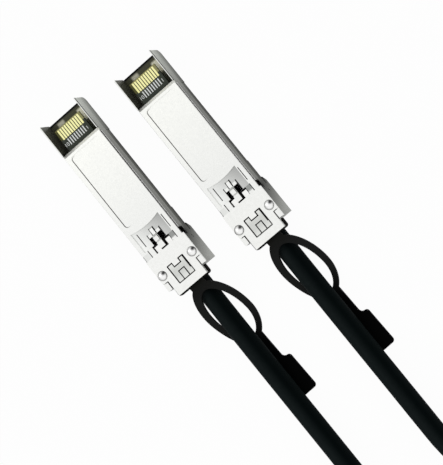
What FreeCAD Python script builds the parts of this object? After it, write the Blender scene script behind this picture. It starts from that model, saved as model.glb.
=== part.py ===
import FreeCAD, Part
import math
import os

# Direct attach copper cable: two pluggable ends and one round cable, in millimetres.
# Each plug is drawn in its own frame: X across the plug, "along" measured from the connector end
# towards the cable, Z up from the underside of the nose. The latch face points up.

V = FreeCAD.Vector

# Plug body that slides into the host's cage
BODY_WIDTH = 13.4
BODY_HEIGHT = 8.5
STOP_AT = 47.5
MOUTH_LENGTH = 10.4
MOUTH_CHAMFER = 0.85
MOUTH_WALL = 0.35
FRONT_COLLAR = 11.7
REAR_COLLAR = 39.5
COLLAR_STEP = 0.4
SIDE_STEP = 0.12
SIDE_STEP_Z = 6.4
SIDE_WALL = 0.55
FAR_WALL = 0.9
LID_THICK = 0.9
LID_INSET = 0.15
SEAM_GAP = 0.12
SEAM_DEPTH = 0.15
FRONT_CORNER_R = 1.7
EDGE_R = 0.35

# Nose that stays outside the cage
NOSE_STEP = 0.15
NOSE_DROP = 2.6
NOSE_END = 57.9
NOSE_LEAN = 0.4
FLARE_START = 45.3
FLARE_END = 47.0
NOSE_WALL = 0.9
NOSE_FLOOR = 0.8
NOSE_EDGE_R = 0.6
SNAP_WINDOW = ((-1.6, 0.05), (0.8, 0.05), (0.1, 2.1), (-1.2, 2.5))
DIMPLE_AT = 49.6
DIMPLE_Z = 5.3
DIMPLE_R = 0.5
DIMPLE_DEPTH = 0.2

# Label recess in the latch face
LABEL_START = 12.0
LABEL_END = 37.2
LABEL_MARGIN = 1.6
LABEL_R = 1.0
LABEL_DEPTH = 0.2

# Latch field: lowered floor, boss, pockets and comb. Its cuts lie off the plug's middle.
FIELD_START = 39.1
FIELD_BULGE = 0.7
FIELD_DEPTH = 0.35
FIELD_LEFT = 5.3
FIELD_RIGHT = 4.8
FIELD_OFFSET = 0.3
BOSS_SHOULDER = 45.15
BOSS_LENGTH = 1.75
BOSS_HALF = 0.7
BOSS_RISE = 0.45
RIDGE_START = 41.0
RIDGE_SLIT_LENGTH = 2.2
RIDGE_HALF = 0.5
RIDGE_RISE = 0.15
POCKET_START = 43.35
POCKET_INNER = 0.8
POCKET_OUTER = 2.3
SLIT_START = 42.1
SLIT_WIDTH = 0.3
LEAD_INNER = 0.75
LEAD_OUTER = 1.95
LEAD_LENGTH = 0.9
GROOVE_LEFT = 3.97
GROOVE_RIGHT = 5.2
GROOVE_WIDTH = 0.25
GROOVE_DEPTH = 0.4
GROOVE_START = 40.1
GROOVE_LENGTH = 4.3
COMB_START = 45.5
COMB_SLOT_AT = 4.6
COMB_SLOT_WIDTH = 0.25
COMB_STEP_LENGTH = 1.7
POST_HALF = 0.85
POST_GAP = 0.45
BLOCK_BELOW = 1.2

# Cover plate over the slider
PLATE_START = 47.85
PLATE_THICK = 0.5
NOTCH_LENGTH = 2.45
NOTCH_WIDTH = 1.6
NOTCH_GAP = 0.22
TONGUE_LENGTH = 2.6
TONGUE_FLANGE = 1.1
TONGUE_BEND_R = 0.25
WINDOW_LENGTH = 5.95
WINDOW_OVER = 0.25
WINDOW_MARGIN = 0.3
WINDOW_R = 0.2
FINGER_LENGTH = 1.25
FINGER_HALF = 1.0
PAD_GAP = 0.32
PAD_SINK = 0.15
ISLAND_HALF = 0.82
ISLAND_LENGTH = 2.45
ISLAND_GROOVE = 0.32
ISLAND_GROOVE_DEPTH = 0.8

# Rivets through plate, lid and back shell
RIVET_BEHIND_WINDOW = 1.2
RIVET_EDGE = 1.4
RIVET_HEAD_R = 1.43
RIVET_HEAD_RISE = 0.62
RIVET_R = 0.8
RIVET_FIT = 0.05
RIVET_POST_R = 1.35

# Slider that frees the host's latch, with its travel
SLIDER_THICK = 0.6
SLIDER_FIT = 0.05
SLIDER_TRAVEL = 2.0
TINE_INNER = 1.2
TINE_WIDTH = 1.55
TINE_GAP = 0.25
TINE_START = 45.6
TINE_TIP = 0.45
WEB_START = 48.7
WEB_CLEAR = 0.5
ARM_CLEAR = 0.3
ARM_WIDTH = 1.1
CROSS_GAP = 0.35
CROSS_LENGTH = 1.75
LUG_HALF = 0.8
LUG_DROP = 1.5
PEG_R = 0.7
PEG_INSET = 1.25
PEG_FIT = 0.05

# Return spring in its pocket under the pad
SPRING_COIL_R = 0.7
SPRING_WIRE = 0.25
SPRING_TURNS = 8
SPRING_POCKET_HALF = 1.0
SPRING_POCKET_LENGTH = 6.0

# Pull tab: head, strap, ring around the cable, neck and handle
HEAD_GAP = 0.25
HEAD_LENGTH = 2.65
HEAD_OVER = 0.35
HEAD_THICK = 1.8
HEAD_R = 0.7
STRAP_THICK = 1.1
STRAP_LIFT = 0.1
SLOPE_START = 61.8
SLOPE_DEG = 30.0
SLOPE_BEND_R = 2.5
FLOOR_BEND_R = 11.0
YOKE_HALF = 2.4
RING_CENTRE = 72.0
RING_A = 10.9
RING_B = 6.35
HOLE_CENTRE = 72.5
HOLE_A = 8.8
HOLE_B = 4.6
NECK_HALF = 2.7
HANDLE_START = 91.3
HANDLE_LENGTH = 11.7
HANDLE_HALF = 4.75
HANDLE_R = 1.0
TAB_OFFSET = 0.35
TAB_YAW_DEG = 2.0
TAB_JOIN_R = 1.2

# Edge card and its contacts
CARD_FRONT = 3.2
CARD_DEPTH = 2.25
CARD_THICK = 1.0
CARD_FRONT_HALF = 4.6
CARD_SIDE_GAP = 0.25
CARD_SHOULDER = 11.6
CARD_END = 36.0
CARD_BEVEL = 0.3
PAD_COUNT = 10
PAD_PITCH = 0.8
PAD_WIDTH = 0.55
PAD_LENGTH = 3.1
PAD_THICK = 0.05
PAD_START = 0.35
CARD_RIB_STARTS = (12.5, 23.0, 33.6)
CARD_RIB_LENGTH = 2.0
CARD_RIB_GRIP = 0.7
CARD_FIT = 0.05
CHIP_AT = 24.0
CHIP_SIZE = 3.0
CHIP_THICK = 0.9
CAPACITOR_AT = 18.5
CAPACITOR_LENGTH = 1.0
CAPACITOR_WIDTH = 0.5
CAPACITOR_SPREAD = 1.6

# Cable, its clamped end, the wire pairs and the crimp
CABLE_D = 6.0
CABLE_Z = 4.1
JACKET_END = 49.0
CABLE_FIT = 0.05
FERRULE_START = 49.4
FERRULE_GAP = 0.4
FERRULE_WALL = 0.4
LUG_PLATE_AT = 50.5
LUG_PLATE_THICK = 1.0
LUG_PLATE_MARGIN = 0.75
LUG_PLATE_HEIGHT = 6.2
SEAT_THICK = 0.8
SEAT_CLEAR = 0.6
SLEEVE_INSIDE = 1.9
SLEEVE_END = 60.2
SLEEVE_WALL = 0.5
PAIR_WIDTH = 2.4
PAIR_THICK = 1.3
PAIR_SPREAD = 1.6
PAIR_LIFT = 0.6
PAIR_TIP = 33.4
WIRE_D = 0.4
WIRE_TIP = 31.4
WIRE_PITCH = 1.0

# Where the two plugs lie, and the put-away coil of the cable between them
PLUG_GAP = 25.0
PLUG_LAG = 4.0
COIL_R_OUTER = 37.4
COIL_R_INNER = 26.6
COIL_LAYER_RISE = 6.2
COIL_CENTRE_BACK = 206.0
COIL_JOIN_DEG = 27.0
COIL_LIFT = 1.0
COIL_EDGE_R = 2.6
TAIL_LENGTH = 26.0
TIE_WIDTH = 10.0
TIE_THICK = 0.9

# Corner points of each run, as (distance behind the connector end, sideways, height)
RUN_LEVEL = (70.0, 0.0, 4.1)
RUN_ON_TAB = (86.0, 0.2, 4.85)
RUN_OFF_TAB = (113.0, 0.3, 4.6)
RUN_TURN_Z = 3.1

FACE_Z = NOSE_DROP + BODY_HEIGHT
LID_Z = FACE_Z - LID_THICK
PLATE_SEAT_Z = FACE_Z - PLATE_THICK
CARD_TOP_Z = FACE_Z - CARD_DEPTH
CARD_BOTTOM_Z = CARD_TOP_Z - CARD_THICK
CAVITY_FLOOR_Z = NOSE_DROP + FAR_WALL
FIELD_Z = FACE_Z - FIELD_DEPTH
BLOCK_Z = LID_Z - BLOCK_BELOW
SLIDER_TOP_Z = PLATE_SEAT_Z - 3 * SLIDER_FIT
SLIDER_Z = SLIDER_TOP_Z - SLIDER_THICK
CHANNEL_Z = SLIDER_Z - SLIDER_FIT
HEAD_Z = SLIDER_Z - HEAD_THICK
CABLE_R = CABLE_D / 2
NOSE_BLOCK_Z = CABLE_Z + CABLE_R + FERRULE_WALL + 2 * CABLE_FIT
BODY_HALF = BODY_WIDTH / 2
NOSE_HALF = BODY_HALF + NOSE_STEP
CAVITY_HALF = BODY_HALF - SIDE_WALL
LABEL_HALF = BODY_HALF - LABEL_MARGIN
CARD_HALF = CAVITY_HALF - CARD_SIDE_GAP
NOSE_CAVITY_HALF = NOSE_HALF - NOSE_WALL
NOSE_CAVITY_START = STOP_AT + NOSE_WALL
NOSE_CAVITY_END = NOSE_END - NOSE_WALL
LUG_PLATE_HALF = NOSE_CAVITY_HALF - LUG_PLATE_MARGIN
SLEEVE_START = NOSE_END - SLEEVE_INSIDE
FERRULE_END = SLEEVE_START - FERRULE_GAP
WINDOW_END = NOSE_END + WINDOW_OVER
WINDOW_START = WINDOW_END - WINDOW_LENGTH
RIVET_AT = WINDOW_START + RIVET_BEHIND_WINDOW
RIVET_SPREAD = NOSE_HALF - RIVET_EDGE
ARM_OUTER = RIVET_SPREAD - RIVET_R - ARM_CLEAR
ARM_INNER = ARM_OUTER - ARM_WIDTH
WINDOW_HALF = ARM_INNER - WINDOW_MARGIN
PEG_SPREAD = ARM_OUTER - PEG_INSET
PLATE_SHOULDER = NOSE_END - NOTCH_LENGTH
PLATE_TONGUE = NOSE_END + TONGUE_LENGTH
TONGUE_HALF = NOSE_HALF - NOTCH_WIDTH
HEAD_HALF = TONGUE_HALF + HEAD_OVER
HEAD_END = NOSE_END + HEAD_GAP + HEAD_LENGTH
CROSS_START = NOSE_END + CROSS_GAP
TINE_OUTER = TINE_INNER + TINE_WIDTH
TINE_ROOM_HALF = TINE_OUTER + TINE_GAP
SPRING_Z = CHANNEL_Z - SPRING_COIL_R - SPRING_WIRE
WEB_END = WINDOW_START + PAD_GAP - SLIDER_TRAVEL - WEB_CLEAR
SPRING_START = WEB_END
FAR = 60.0


def block(x0, x1, a0, a1, z0, z1):
    """Box from x0 to x1 across, a0 to a1 along the plug and z0 to z1 in height."""
    return Part.makeBox(x1 - x0, a1 - a0, z1 - z0, V(x0, -a1, z0))


def slab(half, a0, a1, z0, z1):
    """Box centred across the plug."""
    return block(-half, half, a0, a1, z0, z1)


def pair_of(shape):
    """The shape and its mirror image on the plug's other side."""
    return [shape, shape.mirror(V(0, 0, 0), V(1, 0, 0))]


def edges_along(shape, axis):
    """Straight edges that run along the axis."""
    found = []
    for edge in shape.Edges:
        direction = edge.tangentAt(edge.FirstParameter)
        straight = isinstance(edge.Curve, (Part.Line, Part.LineSegment))
        if straight and abs(direction.dot(axis)) > 0.999:
            found.append(edge)
    return found


def rounded_slab(half, a0, a1, z0, z1, radius):
    """Centred slab with its upright edges rounded."""
    body = slab(half, a0, a1, z0, z1)
    return body.makeFillet(radius, edges_along(body, V(0, 0, 1)))


def side_prism(points, x0, x1):
    """Prism across the plug from a side outline of (along, height) points."""
    corners = [V(x0, -a, z) for a, z in points]
    face = Part.Face(Part.makePolygon(corners + corners[:1]))
    return face.extrude(V(x1 - x0, 0, 0))


def rod(radius, a0, a1, x, z):
    """Round rod along the plug."""
    return Part.makeCylinder(radius, a1 - a0, V(x, -a1, z), V(0, 1, 0))


def ring_tube(inner, outer, a0, a1, z):
    """Round tube along the plug, on its centre line."""
    return rod(outer, a0, a1, 0, z).cut(rod(inner, a0, a1, 0, z))


def rounded_path(points, radii):
    """Straight runs joined by tangent arcs, one radius for each inner point."""
    edges = []
    start = points[0]
    for i in range(1, len(points) - 1):
        back = (points[i - 1] - points[i]).normalize()
        ahead = (points[i + 1] - points[i]).normalize()
        half_turn = (math.pi - back.getAngle(ahead)) / 2
        reach = radii[i - 1] * math.tan(half_turn)
        first = points[i] + back * reach
        last = points[i] + ahead * reach
        bisector = (back + ahead).normalize()
        to_arc = radii[i - 1] * (1 / math.cos(half_turn) - 1)
        edges.append(Part.LineSegment(start, first).toShape())
        edges.append(Part.Arc(first, points[i] + bisector * to_arc, last).toShape())
        start = last
    edges.append(Part.LineSegment(start, points[-1]).toShape())
    return Part.Wire(edges)


def face_shell():
    """Lid of the body and top of the nose: label recess, latch field, comb and slider channel."""
    half = BODY_HALF - LID_INSET
    lid = slab(half, MOUTH_LENGTH, PLATE_START, LID_Z, FACE_Z)
    lid = lid.makeChamfer(MOUTH_CHAMFER, [front_top_edge(lid)])
    sides = [e for e in edges_along(lid, V(0, 1, 0)) if e.CenterOfMass.z > FACE_Z - 0.01]
    lid = lid.makeFillet(EDGE_R / 2, sides)
    seam = block(half - SEAM_DEPTH, BODY_HALF, MOUTH_LENGTH, PLATE_START, LID_Z, LID_Z + SEAM_GAP)
    lid = lid.cut(Part.makeCompound(pair_of(seam)))
    under_field = slab(CAVITY_HALF - CARD_FIT, FIELD_START, NOSE_CAVITY_START, BLOCK_Z, LID_Z)
    nose_top = slab(NOSE_HALF, PLATE_START, NOSE_END, LID_Z, PLATE_SEAT_Z)
    nose_block = slab(NOSE_CAVITY_HALF - CARD_FIT, NOSE_CAVITY_START + CARD_FIT,
                      NOSE_CAVITY_END - CARD_FIT, NOSE_BLOCK_Z, LID_Z)
    shell = lid.multiFuse([under_field, nose_top, nose_block] + corner_blocks() + card_clamps())
    shell = shell.cut(rounded_slab(LABEL_HALF, LABEL_START, LABEL_END,
                                   FACE_Z - LABEL_DEPTH, FAR, LABEL_R))
    shell = shell.cut(latch_field_space())
    shell = shell.multiFuse([latch_boss(), latch_ridge()] + lead_blocks())
    shell = shell.cut(Part.makeCompound(latch_pockets()))
    shell = shell.cut(Part.makeCompound(side_grooves() + slider_channels()))
    shell = shell.cut(spring_pocket())
    shell = shell.fuse(window_pad())
    return shell.cut(Part.makeCompound(rivet_holes())).removeSplitter()


def front_top_edge(lid):
    """Edge of the lid over the mouth."""
    for edge in edges_along(lid, V(1, 0, 0)):
        centre = edge.CenterOfMass
        if abs(centre.y + MOUTH_LENGTH) < 0.01 and centre.z > FACE_Z - 0.01:
            return edge


def corner_blocks():
    """Blocks that stand up beside the plate's tongue at the nose's rear corners."""
    return pair_of(block(TONGUE_HALF + NOTCH_GAP, NOSE_HALF, PLATE_SHOULDER + NOTCH_GAP, NOSE_END,
                         LID_Z, FACE_Z))


def card_clamps():
    """Short ribs under the lid that hold the card down on the back shell's ribs."""
    clamps = []
    for start in CARD_RIB_STARTS:
        rib = block(CARD_HALF - CARD_RIB_GRIP, CAVITY_HALF - CARD_FIT, start,
                    start + CARD_RIB_LENGTH, CARD_TOP_Z + CARD_FIT, LID_Z)
        clamps += pair_of(rib)
    return clamps


def latch_field_space():
    """Material taken off to lower the latch field, with its bowed front edge."""
    left = V(-FIELD_LEFT, -FIELD_START, 0)
    right = V(FIELD_RIGHT, -FIELD_START, 0)
    bow = Part.Arc(left, V(0, -FIELD_START - FIELD_BULGE, 0), right).toShape()
    rear = [V(FIELD_RIGHT, -COMB_START, 0), V(-FIELD_LEFT, -COMB_START, 0)]
    rest = Part.makePolygon([right] + rear + [left])
    face = Part.Face(Part.Wire([bow] + rest.Edges))
    face.translate(V(0, 0, FIELD_Z))
    return face.extrude(V(0, 0, FAR))


def latch_boss():
    """Boss that drops into the host's latch: ramp in front, upright shoulder behind."""
    start = BOSS_SHOULDER - BOSS_LENGTH
    top = FACE_Z + BOSS_RISE
    outline = [(start, FIELD_Z), (start, FACE_Z), (start + BOSS_RISE, top),
               (BOSS_SHOULDER, top), (BOSS_SHOULDER, FIELD_Z)]
    return side_prism(outline, -BOSS_HALF, BOSS_HALF)


def latch_ridge():
    """Narrow lead-in ridge in front of the boss."""
    end = RIDGE_START + RIDGE_SLIT_LENGTH
    outline = [(RIDGE_START, FIELD_Z), (RIDGE_START + FIELD_DEPTH, FACE_Z), (end, FACE_Z + RIDGE_RISE),
               (end, FIELD_Z)]
    return side_prism(outline, FIELD_OFFSET - RIDGE_HALF, FIELD_OFFSET + RIDGE_HALF)


def lead_blocks():
    """Small raised blocks beside the ridge, in front of the pockets."""
    start = POCKET_START - LEAD_LENGTH
    return off_pair(LEAD_INNER, LEAD_OUTER, start, POCKET_START, FIELD_Z, FACE_Z)


def off_pair(inner, outer, a0, a1, z0, z1):
    """Two blocks from inner to outer on both sides of the latch field's own middle."""
    return [block(FIELD_OFFSET + inner, FIELD_OFFSET + outer, a0, a1, z0, z1),
            block(FIELD_OFFSET - outer, FIELD_OFFSET - inner, a0, a1, z0, z1)]


def latch_pockets():
    """Open pockets beside the boss, the slits in front of them and the slits beside the ridge."""
    left = block(FIELD_OFFSET - POCKET_OUTER, -POCKET_INNER, POCKET_START, COMB_START, BLOCK_Z, FAR)
    right = block(POCKET_INNER, FIELD_OFFSET + POCKET_OUTER, POCKET_START, COMB_START, BLOCK_Z, FAR)
    slits = off_pair(POCKET_OUTER - SLIT_WIDTH, POCKET_OUTER, SLIT_START, POCKET_START, BLOCK_Z, FAR)
    ridge_slits = off_pair(RIDGE_HALF, RIDGE_HALF + SLIT_WIDTH, RIDGE_START, RIDGE_START + RIDGE_SLIT_LENGTH,
                           LID_Z, FAR)
    return [left, right] + slits + ridge_slits


def side_grooves():
    """Long narrow grooves along both sides of the latch field."""
    end = GROOVE_START + GROOVE_LENGTH
    half = GROOVE_WIDTH / 2
    return [block(-GROOVE_LEFT - half, -GROOVE_LEFT + half, GROOVE_START, end, FIELD_Z - GROOVE_DEPTH, FAR),
            block(GROOVE_RIGHT - half, GROOVE_RIGHT + half, GROOVE_START, end, FACE_Z - GROOVE_DEPTH, FAR)]


def slider_channels():
    """Room for the slider's tines, web and arms, the slots between the comb's fingers and its low step."""
    room = block(FIELD_OFFSET - TINE_ROOM_HALF, FIELD_OFFSET + TINE_ROOM_HALF, COMB_START,
                 PLATE_START + PLATE_THICK, CHANNEL_Z, FAR)
    room = room.cut(slab(POST_HALF, COMB_START, PLATE_START - POST_GAP, 0, FAR))
    slots = off_pair(COMB_SLOT_AT - COMB_SLOT_WIDTH / 2, COMB_SLOT_AT + COMB_SLOT_WIDTH / 2, COMB_START,
                     PLATE_START, PLATE_SEAT_Z, FAR)
    step = block(FIELD_OFFSET + TINE_ROOM_HALF, FIELD_OFFSET + COMB_SLOT_AT, COMB_START,
                 COMB_START + COMB_STEP_LENGTH, FIELD_Z, FAR)
    under_plate = slab(ARM_OUTER + 2 * SLIDER_FIT, PLATE_START, NOSE_END, CHANNEL_Z, PLATE_SEAT_Z)
    return [room, step, under_plate] + slots


def spring_pocket():
    """Trough for the return spring, open towards the slider's lug."""
    end = SPRING_START + SPRING_POCKET_LENGTH
    return slab(SPRING_POCKET_HALF, WEB_START, end, SPRING_Z - SPRING_POCKET_HALF, CHANNEL_Z)


def window_pad():
    """H-shaped pad that stands in the plate's window, with the raised island in its rear notch."""
    half = WINDOW_HALF - PAD_GAP
    start = WINDOW_START + PAD_GAP
    end = WINDOW_END - PAD_GAP
    top = FACE_Z - PAD_SINK
    pad = slab(half, start, end, CHANNEL_Z, top)
    pad = pad.cut(slab(FINGER_HALF + PAD_GAP, start, WINDOW_START + FINGER_LENGTH + PAD_GAP, PLATE_SEAT_Z
                       - SLIDER_FIT, FAR))
    groove_half = ISLAND_HALF + ISLAND_GROOVE
    island_start = end - ISLAND_LENGTH
    groove = slab(groove_half, island_start - ISLAND_GROOVE, end, top - ISLAND_GROOVE_DEPTH, FAR)
    island = slab(ISLAND_HALF, island_start, end, CHANNEL_Z, top + PAD_SINK / 2)
    return pad.cut(groove).fuse(island)


def rivet_holes():
    """Holes for the two rivets."""
    radius = RIVET_R + RIVET_FIT
    return [Part.makeCylinder(radius, FAR, V(x, -RIVET_AT, -1)) for x in (-RIVET_SPREAD, RIVET_SPREAD)]


def back_shell():
    """Channel of the body and bowl of the nose: far wall, side walls, card ribs and rivet posts."""
    half = BODY_HALF
    channel = slab(half, 0, NOSE_CAVITY_START, NOSE_DROP, FACE_Z)
    corner = [e for e in edges_along(channel, V(1, 0, 0))
              if e.CenterOfMass.y > -0.01 and e.CenterOfMass.z < NOSE_DROP + 0.01]
    channel = channel.makeFillet(FRONT_CORNER_R, corner)
    lower = [e for e in edges_along(channel, V(0, 1, 0)) if e.CenterOfMass.z < NOSE_DROP + 0.01]
    channel = channel.makeFillet(EDGE_R, lower)
    channel = channel.cut(slab(half + 1, FRONT_COLLAR, REAR_COLLAR, 0, NOSE_DROP + COLLAR_STEP))
    low_side = block(half - SIDE_STEP, half + 1, FRONT_COLLAR, REAR_COLLAR, 0, SIDE_STEP_Z)
    channel = channel.cut(Part.makeCompound(pair_of(low_side)))
    channel = channel.cut(slab(half + 1, MOUTH_LENGTH, FAR, LID_Z, FAR))
    shell = channel.fuse(nose_bowl())
    shell = shell.cut(slab(CAVITY_HALF, -1, NOSE_CAVITY_START, CAVITY_FLOOR_Z, FAR))
    shell = shell.cut(slab(half - MOUTH_WALL, -1, MOUTH_LENGTH, CAVITY_FLOOR_Z, FAR))
    shell = shell.cut(slab(NOSE_CAVITY_HALF, NOSE_CAVITY_START, NOSE_CAVITY_END, NOSE_FLOOR, FAR))
    shell = shell.multiFuse(card_ribs() + rivet_posts() + lug_seats())
    shell = shell.cut(rod(CABLE_R + SLEEVE_WALL + CABLE_FIT, NOSE_CAVITY_START, FAR, 0, CABLE_Z))
    shell = shell.cut(slab(ARM_OUTER + 2 * SLIDER_FIT, NOSE_CAVITY_END - 1, FAR, CHANNEL_Z, FAR))
    shell = shell.cut(Part.makeCompound(rivet_holes() + snap_windows() + side_dimples()))
    return shell.removeSplitter()


def nose_bowl():
    """Outside of the nose below the lid, flared out from the body."""
    outline = [(STOP_AT, LID_Z), (NOSE_END, LID_Z), (NOSE_END - NOSE_LEAN, 0), (FLARE_END, 0),
               (FLARE_START, NOSE_DROP), (STOP_AT, NOSE_DROP)]
    bowl = side_prism(outline, -NOSE_HALF, NOSE_HALF)
    lower = [e for e in edges_along(bowl, V(0, 1, 0)) if e.CenterOfMass.z < 0.01]
    return bowl.makeFillet(NOSE_EDGE_R, lower)


def card_ribs():
    """Ribs on the side walls that carry the card."""
    ribs = []
    for start in CARD_RIB_STARTS:
        rib = block(CARD_HALF - CARD_RIB_GRIP, CAVITY_HALF, start, start + CARD_RIB_LENGTH,
                    CAVITY_FLOOR_Z, CARD_BOTTOM_Z)
        ribs += pair_of(rib)
    return ribs


def rivet_posts():
    """Posts in the nose that the rivets pass through, up to the lid's block."""
    height = NOSE_BLOCK_Z - CARD_FIT - NOSE_FLOOR
    posts = []
    for x in (-RIVET_SPREAD, RIVET_SPREAD):
        posts.append(Part.makeCylinder(RIVET_POST_R, height, V(x, -RIVET_AT, NOSE_FLOOR)))
    keep = slab(NOSE_HALF - SIDE_WALL, NOSE_CAVITY_START, NOSE_CAVITY_END, 0, FACE_Z)
    return [post.common(keep) for post in posts]


def lug_seats():
    """Ledges before and behind the ferrule's lug plate."""
    front = LUG_PLATE_AT - CARD_FIT
    rear = LUG_PLATE_AT + LUG_PLATE_THICK + CARD_FIT
    inner = CABLE_R + FERRULE_WALL + SEAT_CLEAR
    seats = []
    for start in (front - SEAT_THICK, rear):
        seat = block(inner, NOSE_CAVITY_HALF, start, start + SEAT_THICK, NOSE_FLOOR, NOSE_BLOCK_Z - CARD_FIT)
        seats += pair_of(seat)
    return seats


def snap_windows():
    """Small windows in the side walls at the stop, under the lid's edge."""
    outline = [(STOP_AT + back, LID_Z - drop) for back, drop in SNAP_WINDOW]
    return pair_of(side_prism(outline, CAVITY_HALF - CARD_FIT, 2 * NOSE_HALF))


def side_dimples():
    """Shallow round dimples on the nose's sides."""
    start = V(NOSE_HALF - DIMPLE_DEPTH, -DIMPLE_AT, DIMPLE_Z)
    return pair_of(Part.makeCylinder(DIMPLE_R, 1, start, V(1, 0, 0)))


def cover_plate():
    """Stamped plate over the slider, with its H window, rear notches and flanged tongue."""
    plate = slab(NOSE_HALF, PLATE_START, PLATE_SHOULDER, PLATE_SEAT_Z, FACE_Z)
    tongue = slab(TONGUE_HALF, PLATE_SHOULDER, PLATE_TONGUE, PLATE_SEAT_Z, FACE_Z)
    flange = block(TONGUE_HALF - PLATE_THICK, TONGUE_HALF, NOSE_END + NOTCH_GAP, PLATE_TONGUE,
                   FACE_Z - TONGUE_FLANGE, PLATE_SEAT_Z)
    bends = [e for e in edges_along(tongue, V(0, 1, 0)) if e.CenterOfMass.z > FACE_Z - 0.01]
    tongue = tongue.makeFillet(TONGUE_BEND_R, bends)
    plate = plate.multiFuse([tongue] + pair_of(flange))
    window = rounded_slab(WINDOW_HALF, WINDOW_START, WINDOW_END, 0, FAR, WINDOW_R)
    finger = slab(FINGER_HALF, WINDOW_START - WINDOW_R, WINDOW_START + FINGER_LENGTH, 0, FAR)
    plate = plate.cut(window.cut(finger))
    return plate.cut(Part.makeCompound(rivet_holes())).removeSplitter()


def cover_rivets():
    """Two rivets with domed heads on the plate."""
    sphere_r = (RIVET_HEAD_R ** 2 + RIVET_HEAD_RISE ** 2) / (2 * RIVET_HEAD_RISE)
    rivets = []
    for x in (-RIVET_SPREAD, RIVET_SPREAD):
        ball = Part.makeSphere(sphere_r, V(x, -RIVET_AT, FACE_Z + RIVET_HEAD_RISE - sphere_r))
        head = ball.common(Part.makeBox(FAR, FAR, FAR, V(x - FAR / 2, -RIVET_AT - FAR / 2, FACE_Z)))
        shank = Part.makeCylinder(RIVET_R, FACE_Z - 0.2 + RIVET_HEAD_RISE / 2, V(x, -RIVET_AT, 0.2))
        rivets.append(head.fuse(shank).removeSplitter())
    return Part.makeCompound(rivets)


def latch_slider():
    """Flat fork: two ramped tines, web, side arms, rear crosspiece and the spring's lug."""
    tine_outline = [(TINE_START, SLIDER_Z), (TINE_START, SLIDER_TOP_Z - TINE_TIP),
                    (TINE_START + TINE_TIP, SLIDER_TOP_Z), (WEB_START, SLIDER_TOP_Z), (WEB_START, SLIDER_Z)]
    tines = [side_prism(tine_outline, FIELD_OFFSET + TINE_INNER, FIELD_OFFSET + TINE_OUTER),
             side_prism(tine_outline, FIELD_OFFSET - TINE_OUTER, FIELD_OFFSET - TINE_INNER)]
    web = slab(ARM_OUTER, WEB_START, WEB_END, SLIDER_Z, SLIDER_TOP_Z)
    arm = block(ARM_INNER, ARM_OUTER, WEB_END, CROSS_START, SLIDER_Z, SLIDER_TOP_Z)
    cross = slab(ARM_OUTER, CROSS_START, CROSS_START + CROSS_LENGTH, SLIDER_Z, SLIDER_TOP_Z)
    lug = slab(LUG_HALF, WEB_END - SLIDER_THICK, WEB_END, SLIDER_Z - LUG_DROP, SLIDER_Z)
    slider = web.multiFuse([cross, lug] + tines + pair_of(arm))
    holes = [Part.makeCylinder(PEG_R + PEG_FIT, FAR, V(x, -peg_at(), 0)) for x in (-PEG_SPREAD, PEG_SPREAD)]
    return slider.cut(Part.makeCompound(holes)).removeSplitter()


def peg_at():
    """Where the tab's pegs pass through the slider's crosspiece."""
    return CROSS_START + CROSS_LENGTH / 2


def return_spring():
    """Compression spring between the slider's lug and the end of its pocket."""
    length = SPRING_POCKET_LENGTH - 2 * CARD_FIT
    pitch = (length - SPRING_WIRE) / SPRING_TURNS
    helix = Part.makeHelix(pitch, pitch * SPRING_TURNS, SPRING_COIL_R)
    wire_face = Part.Wire(Part.makeCircle(SPRING_WIRE / 2, V(SPRING_COIL_R, 0, 0), V(0, 1, 0)))
    coil = Part.Wire(helix).makePipeShell([wire_face], True, True)
    coil.rotate(V(0, 0, 0), V(1, 0, 0), 90)
    coil.translate(V(0, -SPRING_START - CARD_FIT - SPRING_WIRE / 2, SPRING_Z))
    return coil


def pull_tab():
    """Moulded tab: head with two pegs, sloping strap, ring around the cable, neck and handle."""
    head = slab(HEAD_HALF, NOSE_END + HEAD_GAP, HEAD_END, HEAD_Z, SLIDER_Z)
    corners = [e for e in edges_along(head, V(0, 0, 1)) if e.CenterOfMass.y < -HEAD_END + 0.01]
    head = head.makeFillet(HEAD_R, corners)
    pegs = [Part.makeCylinder(PEG_R, SLIDER_THICK + 1, V(x, -peg_at(), SLIDER_Z - 1))
            for x in (-PEG_SPREAD, PEG_SPREAD)]
    strap = tab_strip().common(tab_planform())
    return head.multiFuse(pegs + [strap]).removeSplitter()


def tab_strip():
    """Bent strip of the tab's thickness, wider than the tab."""
    centre = SLIDER_Z - STRAP_THICK / 2
    floor = STRAP_LIFT + STRAP_THICK / 2
    run = (centre - floor) / math.tan(math.radians(SLOPE_DEG))
    end = HANDLE_START + HANDLE_LENGTH + 1
    points = [V(0, -NOSE_END - 1, centre), V(0, -SLOPE_START, centre), V(0, -SLOPE_START - run, floor),
              V(0, -end, floor)]
    path = rounded_path(points, [SLOPE_BEND_R, FLOOR_BEND_R])
    half = 2 * RING_B
    section = [V(-half, points[0].y, centre - STRAP_THICK / 2), V(half, points[0].y, centre - STRAP_THICK / 2),
               V(half, points[0].y, centre + STRAP_THICK / 2), V(-half, points[0].y, centre + STRAP_THICK / 2)]
    profile = Part.makePolygon(section + section[:1])
    return path.makePipeShell([profile], True, False)


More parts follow.
